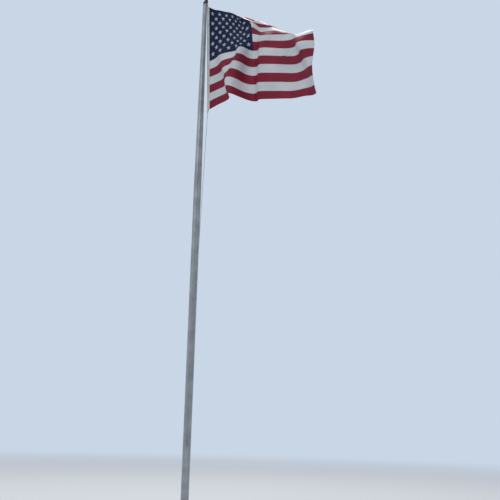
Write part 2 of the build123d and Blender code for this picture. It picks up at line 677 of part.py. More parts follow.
haul_arrival = cleat_frame.from_local_coords((-HITCH_SPREAD, HITCH_ARRIVAL, HITCH_ARRIVAL_STANDOFF))
down_arrival = cleat_frame.from_local_coords((HITCH_SPREAD, HITCH_ARRIVAL, HITCH_ARRIVAL_STANDOFF))
last_run = Vector(0, 0, CLEAT_RUN_IN)
build_rope(
    "halyard_haul",
    [haul_side, haul_side + Vector(0, 0, -HAUL_STRAIGHT), haul_arrival + last_run, haul_arrival],
)
lower_end = lower_knot_centre + lower_knot_axis * (knot_length / 2)
build_rope(
    "halyard_downhaul",
    [
        lower_end,
        lower_end + lower_knot_axis * DOWNHAUL_FROM_KNOT,
        down_arrival + last_run,
        down_arrival,
    ],
)

# Halyard made fast on the cleat in crossed turns, as (across, up, out from the shaft's axis)
hitch_route = (
    (-HITCH_SPREAD, HITCH_ARRIVAL, HITCH_ARRIVAL_STANDOFF),
    (-HITCH_SPREAD, 150, HITCH_ARRIVAL_STANDOFF),
    (-19, 80, 103),
    (-19, -24, 97),
    (-8, -50, 92),
    (12, -54, 92),
    (22, -36, 104),
    (17, -20, 125),
    (-17, 20, 126),
    (-24, 36, 104),
    (-11, 53, 91),
    (11, 55, 91),
    (24, 38, 104),
    (18, 20, 128),
    (3, 3, 137),
    (-17, -18, 128),
    (-30, -38, 106),
    (-16, -64, 92),
    (14, -68, 92),
    (32, -46, 98),
    (30, 30, 98),
    (24, 80, 104),
    (HITCH_SPREAD, 150, HITCH_ARRIVAL_STANDOFF),
    (HITCH_SPREAD, HITCH_ARRIVAL, HITCH_ARRIVAL_STANDOFF),
)
build_rope("cleat_hitch", [cleat_frame.from_local_coords(point) for point in hitch_route])


def mixed(place, places, values):
    """The value at a place, straight between the listed values on each side of it."""
    for low, high, before, after in zip(places, places[1:], values, values[1:]):
        if place <= high:
            return before + (after - before) * (place - low) / (high - low)
    return values[-1]


def cloth_heading(share, low):
    """The cloth's heading towards the viewer, at a share of the fly and of the way down below the canton."""
    heading = FLAG_YAW[0] + (FLAG_YAW[1] - FLAG_YAW[0]) * low
    for turn, low_turn, place, low_place, width in FLAG_FOLDS:
        centre = place + (low_place - place) * low
        heading += (turn + (low_turn - turn) * low) * math.exp(-(((share - centre) / width) ** 2))
    return math.radians(heading)


def run_up(rates, step):
    """Adds rates up along the fly, from nothing at the heading."""
    sums = [0.0]
    for before, after in zip(rates, rates[1:]):
        sums.append(sums[-1] + (before + after) / 2 * step)
    return sums


def soften(lines, times):
    """Averages each line of numbers with its neighbours, a quarter each; the end lines stay."""
    for _ in range(times):
        inner = [
            [(before + 2 * here + after) / 4 for before, here, after in zip(*three)]
            for three in zip(lines, lines[1:], lines[2:])
        ]
        lines = [lines[0]] + inner + [lines[-1]]
    return lines


def cloth_drop(sideways, depth):
    """How far a row hangs below the last: what is left of its depth, and never less than a small share."""
    left = depth**2 - sideways**2
    least = (LEAST_DROP * depth) ** 2
    blend = math.sqrt((left - least) ** 2 + DROP_BLEND * depth**4)
    return math.sqrt((left + least + blend) / 2)


def cloth_grids():
    """The flying cloth's x, y and z, each as columns of rows."""
    shares = [column / FLAG_COLUMNS for column in range(FLAG_COLUMNS + 1)]
    step = (FLY - HEADING_WIDTH) / FLAG_COLUMNS
    depth = HOIST / FLAG_ROWS
    edge = hoist_top + fly_direction * (HEADING_WIDTH + CLOTH_GAP)
    slopes = [math.radians(FLAG_SINK[0] + FLAG_SINK[1] * s + FLAG_SINK[2] * s**2) for s in shares]
    sunk = run_up([math.sin(slope) for slope in slopes], step)
    x_rows = [None] * (FLAG_ROWS + 1)
    y_rows = [None] * (FLAG_ROWS + 1)
    z_rows = [None] * (FLAG_ROWS + 1)
    for row in range(CANTON_ROWS, FLAG_ROWS + 1):
        start = edge + down * (depth * row)
        low = (row - CANTON_ROWS) / (FLAG_ROWS - CANTON_ROWS)
        headings = [cloth_heading(share, low) for share in shares]
        ahead = run_up([math.cos(h) * math.cos(slope) for h, slope in zip(headings, slopes)], step)
        nearer = run_up([math.sin(h) * math.cos(slope) for h, slope in zip(headings, slopes)], step)
        x_rows[row] = [start.X + value for value in ahead]
        y_rows[row] = [start.Y - value for value in nearer]
        if row == CANTON_ROWS:
            z_rows[row] = [start.Z - value for value in sunk]
        else:
            sideways = [
                math.hypot(x - x_above, y - y_above)
                for x, x_above, y, y_above in zip(x_rows[row], x_rows[row - 1], y_rows[row], y_rows[row - 1])
            ]
            z_rows[row] = [z - cloth_drop(aside, depth) for z, aside in zip(z_rows[row - 1], sideways)]
    bands = [stripe / STRIPES for stripe in LEAN_STRIPES]
    plan_x = x_rows[CANTON_ROWS]
    plan_y = y_rows[CANTON_ROWS]
    moved_x = [0.0] * len(shares)
    moved_y = [0.0] * len(shares)
    for row in range(CANTON_ROWS - 1, -1, -1):
        middle = (row + 0.5) / FLAG_ROWS
        aside = (SIDEWAYS_FROM - middle * STRIPES) / (SIDEWAYS_FROM - SIDEWAYS_FULL)
        aside = min(max(aside, 0.0), 1.0)
        plan_x = [values[0] for values in soften([[x] for x in plan_x], FOLD_FADE)]
        plan_y = [values[0] for values in soften([[y] for y in plan_y], FOLD_FADE)]
        risen = []
        for column, share in enumerate(shares):
            leans = [mixed(share, LEAN_AT, band) for band in LEANS]
            lean = math.radians(mixed(middle, bands, leans) if middle > bands[0] else leans[0])
            turned = math.radians(mixed(share, LEAN_AT, SIDEWAYS)) * aside
            back = depth * math.sin(lean)
            moved_x[column] += back * math.sin(turned) - (1 - share) * HOIST_LEAN_X / FLAG_ROWS
            moved_y[column] += back * math.cos(turned) - (1 - share) * HOIST_LEAN_Y / FLAG_ROWS
            risen.append(z_rows[row + 1][column] + depth * math.cos(lean))
        x_rows[row] = [x + moved for x, moved in zip(plan_x, moved_x)]
        y_rows[row] = [y + moved for y, moved in zip(plan_y, moved_y)]
        z_rows[row] = risen
    grids = []
    for rows_of_values in (x_rows, y_rows, z_rows):
        columns = soften([list(column) for column in zip(*rows_of_values)], SOFTEN_COLUMNS)
        rows = soften([list(row) for row in zip(*columns)], SOFTEN_ROWS)
        grids.append([list(column) for column in zip(*rows)])
    return grids


def cloth_points():
    """The points that the solid's surface passes near: every few columns and rows of the cloth."""
    x_columns, y_columns, z_columns = cloth_grids()
    edge = hoist_top + fly_direction * (HEADING_WIDTH + CLOTH_GAP)
    points = []
    for column in range(0, FLAG_COLUMNS + 1, SPACING_COLUMNS):
        line = []
        for row in range(0, FLAG_ROWS + 1, SPACING_ROWS):
            if column == 0:
                line.append(edge + down * (HOIST * row / FLAG_ROWS))
            else:
                line.append(Vector(x_columns[column][row], y_columns[column][row], z_columns[column][row]))
        points.append(line)
    return points


with BuildPart() as flag:
    cloth = Face.make_surface_from_array_of_points(
        cloth_points(), tol=CLOTH_FIT, smoothing=(1, 1, 1), min_deg=3, max_deg=8
    )
    thicken(cloth, amount=FLAG_THICKNESS / 2, both=True)
write(flag, "flag")
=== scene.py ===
import math

import bpy
import numpy as np
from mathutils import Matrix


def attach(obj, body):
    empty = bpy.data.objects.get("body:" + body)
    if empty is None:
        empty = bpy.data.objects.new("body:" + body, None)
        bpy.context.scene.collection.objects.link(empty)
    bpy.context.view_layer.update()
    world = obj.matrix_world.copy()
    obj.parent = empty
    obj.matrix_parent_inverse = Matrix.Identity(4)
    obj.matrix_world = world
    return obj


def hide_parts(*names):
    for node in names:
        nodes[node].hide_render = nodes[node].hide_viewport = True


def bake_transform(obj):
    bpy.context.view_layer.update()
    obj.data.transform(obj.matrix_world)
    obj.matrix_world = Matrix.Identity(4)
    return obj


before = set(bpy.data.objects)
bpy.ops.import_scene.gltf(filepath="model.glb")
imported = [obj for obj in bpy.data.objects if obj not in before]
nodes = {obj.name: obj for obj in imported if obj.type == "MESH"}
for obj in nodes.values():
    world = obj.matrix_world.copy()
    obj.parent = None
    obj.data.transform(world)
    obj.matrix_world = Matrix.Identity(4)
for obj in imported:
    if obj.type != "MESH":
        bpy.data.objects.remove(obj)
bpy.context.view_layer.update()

# Camera: someone of ordinary height stands 15.4 m in front of the pole and looks up at the flag, with the
# pole left of the middle of the picture and its foot and ball just outside it.
pan, pitch, roll = (math.radians(angle) for angle in (4.157, 12.745, 1.462))
forward = np.array([math.sin(pan) * math.cos(pitch), math.cos(pan) * math.cos(pitch), math.sin(pitch)])
level = np.array([math.cos(pan), -math.sin(pan), 0.0])
above = np.cross(level, forward)
right = math.cos(roll) * level + math.sin(roll) * above
upward = math.cos(roll) * above - math.sin(roll) * level


def shown(name, data):
    """A new object of the scene that holds the data."""
    made = bpy.data.objects.new(name, data)
    bpy.context.scene.collection.objects.link(made)
    return made


def aim(thing, side, up, back, place):
    """Puts a camera or lamp at a place, with its own x, y and z along side, up and back."""
    matrix = np.eye(4)
    matrix[:3, 0], matrix[:3, 1], matrix[:3, 2], matrix[:3, 3] = side, up, back, place
    thing.matrix_world = matrix.T.tolist()


camera = shown("camera", bpy.data.cameras.new("camera"))
camera.data.lens = 55.87
camera.data.sensor_width = 36.0
camera.data.clip_end = 400.0
aim(camera, right, upward, -forward, (0.0, -15.42, 1.71))
bpy.context.scene.camera = camera
bpy.context.scene.view_settings.view_transform = "Standard"


# Studio: a pale room of even light and a pale floor that passes into it 10 to 35 m from the pole, a large soft key
# lamp high on the left in front, and a smaller one overhead behind that catches the upper side of the cloth.
def linear(hex_colour):
    """Linear red, green, blue and 1 of an sRGB hex colour: each share s is s / 12.92, or ((s + 0.055) / 1.055)^2.4."""
    shares = [int(hex_colour[i:i + 2], 16) / 255 for i in (0, 2, 4)]
    return [s / 12.92 if s <= 0.04045 else ((s + 0.055) / 1.055) ** 2.4 for s in shares] + [1.0]


def add(tree, kind, settings=(), **links):
    """Adds one shader node. settings are its own properties; each link is an input's value, or (node, output)."""
    node = tree.nodes.new(kind)
    for name, value in dict(settings).items():
        setattr(node, name, value)
    for name, value in links.items():
        key = int(name[1:]) if name[0] == "i" and name[1:].isdigit() else name.replace("_", " ")
        if isinstance(value, tuple) and isinstance(value[0], bpy.types.Node):
            tree.links.new(value[0].outputs[value[1]], node.inputs[key])
        else:
            node.inputs[key].default_value = value
    return node


def fresh(name):
    """A new material with an empty node tree, and that tree."""
    material = bpy.data.materials.new(name)
    material.use_nodes = True
    material.node_tree.nodes.clear()
    return material, material.node_tree


def seen(tree):
    """1 for rays from the camera and for mirrored ones, which meet the backdrop, and 0 for the rest."""
    path = add(tree, "ShaderNodeLightPath")
    return add(tree, "ShaderNodeMath", {"operation": "MAXIMUM"}, i0=(path, "Is Camera Ray"), i1=(path, "Is Glossy Ray"))


world = bpy.data.worlds.new("studio")
bpy.context.scene.world = world
world.use_nodes = True
tree = world.node_tree
tree.nodes.clear()
room = add(tree, "ShaderNodeBackground", Color=linear("eceef2"), Strength=0.62)
backdrop = add(tree, "ShaderNodeBackground", Color=linear("c9d6e6"), Strength=1.0)
sky = add(tree, "ShaderNodeMixShader", i0=(seen(tree), 0), i1=(room, 0), i2=(backdrop, 0))
add(tree, "ShaderNodeOutputWorld", Surface=(sky, 0))

for name, place, target, size, power in (
    ("key lamp", (-9.0, -13.0, 14.0), (0.5, -0.8, 8.0), 6.0, 650.0),
    ("back lamp", (1.2, 7.4, 22.5), (1.0, -1.2, 9.3), 1.4, 1900.0),
):
    lamp = shown(name, bpy.data.lights.new(name, "AREA"))
    lamp.data.shape = "SQUARE"
    lamp.data.size = size
    lamp.data.energy = power
    back = np.array(place) - np.array(target)
    back = back / np.linalg.norm(back)
    side = np.cross((0.0, 0.0, 1.0), back)
    side = side / np.linalg.norm(side)
    aim(lamp, side, np.cross(back, side), back, place)

floor_mesh = bpy.data.meshes.new("floor")
floor_corners = [(x, y, -0.002) for x, y in ((-60, -60), (60, -60), (60, 90), (-60, 90))]
floor_mesh.from_pydata(floor_corners, [], [(0, 1, 2, 3)])
floor = shown("floor", floor_mesh)
paint, tree = fresh("pale floor paint")
matt = add(tree, "ShaderNodeBsdfPrincipled", Base_Color=linear("dde0e4"), Roughness=0.8)
haze = add(tree, "ShaderNodeEmission", Color=linear("c9d6e6"), Strength=1.0)
where = add(tree, "ShaderNodeTexCoord")
away = add(tree, "ShaderNodeVectorMath", {"operation": "LENGTH"}, i0=(where, "Object"))
far = add(tree, "ShaderNodeMapRange", {"interpolation_type": "SMOOTHSTEP"},
          Value=(away, 1), From_Min=10.0, From_Max=35.0)
share = add(tree, "ShaderNodeMath", {"operation": "MULTIPLY"}, i0=(far, 0), i1=(seen(tree), 0))
faded = add(tree, "ShaderNodeMixShader", i0=(share, 0), i1=(matt, 0), i2=(haze, 0))
add(tree, "ShaderNodeOutputMaterial", Surface=(faded, 0))
floor_mesh.materials.append(paint)


# Shaft: one drawn tube of 6063 aluminium, straight for its lower part and spun to a taper above, left in its
# satin rotary-sanded finish; its even grey is painted shade, darker than the bright metal, with faint streaks where
# rain runs down. Its noises are given in cells to the metre: a 6 mm grain drawn out along the tube, where the real
# one is too fine to show, rain streaks 33 mm apart and patches 200 mm across.
def two_tones(tree, source, low, high):
    """A colour ramp fed by an output, from one (position, sRGB hex) to the other."""
    ramp = add(tree, "ShaderNodeValToRGB", Fac=source)
    for element, (position, hex_colour) in zip(ramp.color_ramp.elements, (low, high)):
        element.position, element.color = position, linear(hex_colour)
    return ramp


def wear(node, material):
    """Gives a CAD node a material through its object's own slots."""
    for slot in nodes[node].material_slots:
        slot.link = "OBJECT"
        slot.material = material


satin_aluminium, tree = fresh("satin drawn aluminium")
where = add(tree, "ShaderNodeTexCoord")
drawn = add(tree, "ShaderNodeMapping", Vector=(where, "Object"), Scale=(160.0, 160.0, 1.2))
grain = add(tree, "ShaderNodeTexNoise", Vector=(drawn, 0), Scale=1.0, Detail=3.0, Roughness=0.6)
runs = add(tree, "ShaderNodeMapping", Vector=(where, "Object"), Scale=(30.0, 30.0, 0.35))
streaks = add(tree, "ShaderNodeTexNoise", Vector=(runs, 0), Scale=1.0, Detail=5.0, Roughness=0.55)
patches = add(tree, "ShaderNodeTexNoise", Vector=(where, "Object"), Scale=5.0, Detail=4.0, Roughness=0.5)
mixed = add(tree, "ShaderNodeMath", {"operation": "MULTIPLY_ADD"}, i0=(streaks, 0), i1=0.65, i2=(patches, 0))
# Painted shade: both tones of the shaft are written darker than bright satin aluminium.
tone = two_tones(tree, (mixed, 0), (0.62, "868c92"), (1.0, "a0a5aa"))
rough = add(tree, "ShaderNodeMapRange", Value=(mixed, 0), From_Min=0.5, From_Max=1.1, To_Min=0.58, To_Max=0.46)
fine = add(tree, "ShaderNodeBump", Strength=0.12, Distance=0.0004, Height=(grain, 0))
metal = add(tree, "ShaderNodeBsdfPrincipled",
            Base_Color=(tone, 0), Metallic=0.4, Roughness=(rough, 0), Normal=(fine, 0))
add(tree, "ShaderNodeOutputMaterial", Surface=(metal, 0))
wear("shaft", satin_aluminium)

# Flash collar: a shallow skirt spun from bright aluminium sheet that covers the joint between the shaft and
# the ground. The spinning tool's rings are drawn 1.7 mm apart, and dust lies on it in patches of 70 mm.
spun_aluminium, tree = fresh("spun aluminium sheet")
where = add(tree, "ShaderNodeTexCoord")
rings = add(tree, "ShaderNodeTexWave", {"wave_type": "RINGS", "rings_direction": "Z"},
            Vector=(where, "Object"), Scale=190.0, Distortion=1.5, Detail=2.0)
dust = add(tree, "ShaderNodeTexNoise", Vector=(where, "Object"), Scale=14.0, Detail=6.0)
tone = two_tones(tree, (dust, 0), (0.35, "9b9d9f"), (0.7, "c2c4c6"))
rough = add(tree, "ShaderNodeMapRange", Value=(dust, 0), From_Min=0.3, From_Max=0.7, To_Min=0.42, To_Max=0.28)
fine = add(tree, "ShaderNodeBump", Strength=0.15, Distance=0.0006, Height=(rings, 0))
metal = add(tree, "ShaderNodeBsdfPrincipled",
            Base_Color=(tone, 0), Metallic=1.0, Roughness=(rough, 0), Normal=(fine, 0))
add(tree, "ShaderNodeOutputMaterial", Surface=(metal, 0))
wear("flash_collar", spun_aluminium)

# Cleat: a nine-inch horn cleat sand cast in aluminium, tumbled smooth and fixed to the shaft with two steel
# machine screws. The sand's grain is 2.4 mm, coarser than the real one so that it shows, the soiling 26 mm.
cast_aluminium, tree = fresh("tumbled cast aluminium")
where = add(tree, "ShaderNodeTexCoord")
sand = add(tree, "ShaderNodeTexNoise", Vector=(where, "Object"), Scale=420.0, Detail=3.0)
soil = add(tree, "ShaderNodeTexNoise", Vector=(where, "Object"), Scale=38.0, Detail=5.0)
tone = two_tones(tree, (soil, 0), (0.35, "8d8f92"), (0.7, "c4c6c8"))
fine = add(tree, "ShaderNodeBump", Strength=0.25, Distance=0.0005, Height=(sand, 0))
metal = add(tree, "ShaderNodeBsdfPrincipled", Base_Color=(tone, 0), Metallic=0.95, Roughness=0.42, Normal=(fine, 0))
add(tree, "ShaderNodeOutputMaterial", Surface=(metal, 0))
wear("cleat", cast_aluminium)

# Steel: the cleat's screws, the sheave's axle, the spindle and the finial's stem and locknut are stainless
# bar, turned and left with a feed mark of 1.1 mm, and stained in patches of 17 mm.
turned_steel, tree = fresh("turned stainless steel")
where = add(tree, "ShaderNodeTexCoord")
feed = add(tree, "ShaderNodeTexNoise", Vector=(where, "Object"), Scale=900.0, Detail=2.0)
stain = add(tree, "ShaderNodeTexNoise", Vector=(where, "Object"), Scale=60.0, Detail=4.0)
tone = two_tones(tree, (stain, 0), (0.4, "7d7c7a"), (0.65, "b1b2b4"))
fine = add(tree, "ShaderNodeBump", Strength=0.1, Distance=0.0003, Height=(feed, 0))
metal = add(tree, "ShaderNodeBsdfPrincipled", Base_Color=(tone, 0), Metallic=1.0, Roughness=0.34, Normal=(fine, 0))
add(tree, "ShaderNodeOutputMaterial", Surface=(metal, 0))
for node in ("cleat_screw_upper", "cleat_screw_lower", "sheave_axle", "spindle", "finial_stem", "finial_locknut"):
    wear(node, turned_steel)

# Truck: the turning head and the plug it stands on are matt sand castings, coloured dark as painted shade: a
# grain of 2.9 mm from the sand, and a crust in patches of 22 mm.
shade_darkened_casting, tree = fresh("casting darkened as painted shade")
where = add(tree, "ShaderNodeTexCoord")
sand = add(tree, "ShaderNodeTexNoise", Vector=(where, "Object"), Scale=350.0, Detail=4.0)
crust = add(tree, "ShaderNodeTexNoise", Vector=(where, "Object"), Scale=45.0, Detail=6.0, Roughness=0.6)
# Painted shade: both tones are near black for the shade the head hangs in.
tone = two_tones(tree, (crust, 0), (0.35, "1c2126"), (0.72, "3b4148"))
rough = add(tree, "ShaderNodeMapRange", Value=(crust, 0), From_Min=0.3, From_Max=0.7, To_Min=0.75, To_Max=0.5)
fine = add(tree, "ShaderNodeBump", Strength=0.5, Distance=0.0008, Height=(sand, 0))
metal = add(tree, "ShaderNodeBsdfPrincipled",
            Base_Color=(tone, 0), Metallic=0.55, Roughness=(rough, 0), Normal=(fine, 0))
add(tree, "ShaderNodeOutputMaterial", Surface=(metal, 0))
for node in ("truck_body", "spindle_base"):
    wear(node, shade_darkened_casting)

# Sheave: a cast wheel turned in its groove, which runs between the cheeks of the head; the rope has polished it
# in patches of 8 mm.
worn_sheave, tree = fresh("worn cast sheave")
where = add(tree, "ShaderNodeTexCoord")
rubs = add(tree, "ShaderNodeTexNoise", Vector=(where, "Object"), Scale=120.0, Detail=4.0)
tone = two_tones(tree, (rubs, 0), (0.35, "4c4d4f"), (0.7, "85878a"))
fine = add(tree, "ShaderNodeBump", Strength=0.2, Distance=0.0004, Height=(rubs, 0))
metal = add(tree, "ShaderNodeBsdfPrincipled", Base_Color=(tone, 0), Metallic=0.9, Roughness=0.4, Normal=(fine, 0))
add(tree, "ShaderNodeOutputMaterial", Surface=(metal, 0))
wear("sheave", worn_sheave)

# Bronze: the washer under the head and the bush in the sheave are oil-filled bearing bronze, pressed from powder
# and dull; the pores are drawn at 1.4 mm, as they are too fine to show.
bearing_bronze, tree = fresh("bearing bronze")
where = add(tree, "ShaderNodeTexCoord")
pores = add(tree, "ShaderNodeTexNoise", Vector=(where, "Object"), Scale=700.0, Detail=3.0)
tone = two_tones(tree, (pores, 0), (0.3, "6d4d2b"), (0.7, "9a7443"))
fine = add(tree, "ShaderNodeBump", Strength=0.2, Distance=0.0003, Height=(pores, 0))
metal = add(tree, "ShaderNodeBsdfPrincipled", Base_Color=(tone, 0), Metallic=1.0, Roughness=0.45, Normal=(fine, 0))
add(tree, "ShaderNodeOutputMaterial", Surface=(metal, 0))
for node in ("thrust_washer", "sheave_bush"):
    wear(node, bearing_bronze)

# Finial: a six-inch ball spun in two halves from aluminium sheet, on a turned neck, satin anodised silver. The
# spinning rings are 2 mm apart, and the haze on it is in patches of 45 mm.
anodised_ball, tree = fresh("satin anodised aluminium")
where = add(tree, "ShaderNodeTexCoord")
rings = add(tree, "ShaderNodeTexWave", {"wave_type": "BANDS", "bands_direction": "Z"},
            Vector=(where, "Object"), Scale=160.0, Distortion=0.6, Detail=2.0)
haze = add(tree, "ShaderNodeTexNoise", Vector=(where, "Object"), Scale=22.0, Detail=5.0)
tone = two_tones(tree, (haze, 0), (0.35, "b4b5b6"), (0.7, "d2d3d4"))
fine = add(tree, "ShaderNodeBump", Strength=0.08, Distance=0.0004, Height=(rings, 0))
metal = add(tree, "ShaderNodeBsdfPrincipled", Base_Color=(tone, 0), Metallic=1.0, Roughness=0.27, Normal=(fine, 0))
add(tree, "ShaderNodeOutputMaterial", Surface=(metal, 0))
for node in ("finial_ball", "finial_neck"):
    wear(node, anodised_ball)

# Snaps: cast bronze hooks with a spring gate and a swivel eye, one for each corner of the flag, gone brown in
# patches of 6 mm.
tarnished_bronze, tree = fresh("tarnished bronze")
where = add(tree, "ShaderNodeTexCoord")
tarnish = add(tree, "ShaderNodeTexNoise", Vector=(where, "Object"), Scale=160.0, Detail=5.0)
tone = two_tones(tree, (tarnish, 0), (0.35, "3d3023"), (0.7, "8a6c42"))
fine = add(tree, "ShaderNodeBump", Strength=0.25, Distance=0.0003, Height=(tarnish, 0))
metal = add(tree, "ShaderNodeBsdfPrincipled", Base_Color=(tone, 0), Metallic=0.95, Roughness=0.4, Normal=(fine, 0))
add(tree, "ShaderNodeOutputMaterial", Surface=(metal, 0))
for end in ("upper", "lower"):
    for piece in ("hook", "gate", "swivel"):
        wear(f"{end}_snap_{piece}", tarnished_bronze)

# Grommets: spun brass rings, closed over the edges of the holes in the heading, dull gold in patches of 7 mm.
spun_brass, tree = fresh("spun brass")
where = add(tree, "ShaderNodeTexCoord")
dull = add(tree, "ShaderNodeTexNoise", Vector=(where, "Object"), Scale=150.0, Detail=4.0)
tone = two_tones(tree, (dull, 0), (0.35, "8a7136"), (0.7, "c7a960"))
metal = add(tree, "ShaderNodeBsdfPrincipled", Base_Color=(tone, 0), Metallic=1.0, Roughness=0.33)
add(tree, "ShaderNodeOutputMaterial", Surface=(metal, 0))
for node in ("grommet_top", "grommet_bottom"):
    wear(node, spun_brass)

# Heading: a tape of heavy cotton duck, folded over the flag's hoist edge and sewn down with two rows of stitching
# along each side; a coarse plain weave, white cloth given a grey of painted shade, lighter and darker in patches of
# 110 mm. Its threads are drawn 1.5 mm apart, coarser than the real half millimetre, so that they show, and its
# stitching rows 4 and 8.5 mm from each edge.
heading_width = 0.045
along_fly, to_heading = (0.8737, -0.4847, 0.0409), 0.4868
edge_row, inner_row, half_stitch = 0.004, 0.0085, 0.0007
cotton_duck, tree = fresh("cotton duck tape")
where = add(tree, "ShaderNodeTexCoord")
warp = add(tree, "ShaderNodeTexWave", {"bands_direction": "Z"}, Vector=(where, "Object"), Scale=210.0, Distortion=0.4)
weft = add(tree, "ShaderNodeTexWave", {"bands_direction": "X"}, Vector=(where, "Object"), Scale=210.0, Distortion=0.4)
weave = add(tree, "ShaderNodeMath", {"operation": "MULTIPLY"}, i0=(warp, 1), i1=(weft, 1))
soil = add(tree, "ShaderNodeTexNoise", Vector=(where, "Object"), Scale=9.0, Detail=5.0)
# Painted shade: the white duck is written grey.
tone = two_tones(tree, (soil, 0), (0.3, "aeb0b2"), (0.7, "cacccd"))
from_edge = add(tree, "ShaderNodeVectorMath", {"operation": "DOT_PRODUCT"},
                i0=(where, "Object"), i1=along_fly)
from_corner = add(tree, "ShaderNodeMath", {"operation": "SUBTRACT"}, i0=(from_edge, 1), i1=to_heading)
mirrored = add(tree, "ShaderNodeMath", {"operation": "PINGPONG"}, i0=(from_corner, 0), i1=heading_width / 2)
near = add(tree, "ShaderNodeMath", {"operation": "COMPARE"}, i0=(mirrored, 0), i1=edge_row, i2=half_stitch)
inner = add(tree, "ShaderNodeMath", {"operation": "COMPARE"}, i0=(mirrored, 0), i1=inner_row, i2=half_stitch)
seam = add(tree, "ShaderNodeMath", {"operation": "MAXIMUM"}, i0=(near, 0), i1=(inner, 0))
darker = add(tree, "ShaderNodeMath", {"operation": "MULTIPLY_ADD"}, i0=(seam, 0), i1=-0.16, i2=1.0)
colour = add(tree, "ShaderNodeHueSaturation", Value=(darker, 0), Color=(tone, 0))
fine = add(tree, "ShaderNodeBump", Strength=0.5, Distance=0.0008, Height=(weave, 0))
drawn = add(tree, "ShaderNodeBump", {"invert": True},
            Strength=0.8, Distance=0.0012, Height=(seam, 0), Normal=(fine, 0))
cloth = add(tree, "ShaderNodeBsdfPrincipled", Base_Color=(colour, 0), Roughness=0.85, Normal=(drawn, 0))
cloth.inputs["Sheen Weight"].default_value = 0.1
add(tree, "ShaderNodeOutputMaterial", Surface=(cloth, 0))
wear("heading_strip", cotton_duck)


# Flag: thirteen sewn stripes and a navy canton of woven nylon, with an embroidered star field on both faces.
# Snapped to the halyard at two grommets, it flies to the right and towards the viewer in long slanting folds,
# and the slack top of its outer half lies over backwards. All lengths are in metres.
hoist, fly, stripes, sewn_in = 2.390, 3.600, 13, 0.006
columns, rows = 180, 78
canton_columns, canton_rows = 72, 42
# The lower half: headings in degrees at the canton's foot and at the bottom, how the rows sink (degrees at the
# heading, then by the share of the fly and its square), and six folds as (turn at the foot of the canton, turn
# at the bottom, place there, place at the bottom, width), the places and the width as shares of the fly.
yaw = (29.5, 48)
sink = (-8.5, 67, -47)
folds = (
    (40, 80, 0.07, 0.215, 0.04),
    (85, 0, 0.27, 0.22, 0.04),
    (-88, -72, 0.36, 0.305, 0.06),
    (50, -45, 0.41, 0.39, 0.05),
    (60, 55, 0.47, 0.46, 0.035),
    (70, 38, 0.81, 0.98, 0.10),
)
# The upper half: how far each place along the fly leans back from upright, in degrees, in the middle of four
# bands of stripes counted from the top, and how far the top band leans sideways instead of straight back.
lean_at = (0, 0.05, 0.15, 0.30, 0.36, 0.40, 0.50, 0.62, 0.70, 0.76, 0.88, 1.00)
lean_bands = (
    (2.5, (0, 10, 20, 27, 38, 57, 46, 52, 62, 80, 84, 84)),
    (3.5, (0, 10, 20, 30, 32, 26, 22, 50, 64, 80, 80, 76)),
    (4.5, (0, 10, 20, 32, 30, 16, 50, 36, 50, 72, 72, 64)),
    (6.0, (0, 10, 20, 33, 24, 0, 12, 12, 10, 8, 33, 26)),
)
sideways = (0, 0, 0, -10, -25, -32, -30, -15, -10, 0, 0, 0)
fold_fade = 20


def soften(grid, times):
    """Averages each line of points with its neighbours, (before + 2 * itself + after) / 4; the end lines stay."""
    for _ in range(times):
        inner = (grid[:-2] + 2 * grid[1:-1] + grid[2:]) / 4
        grid = np.concatenate([grid[:1], inner, grid[-1:]])
    return grid


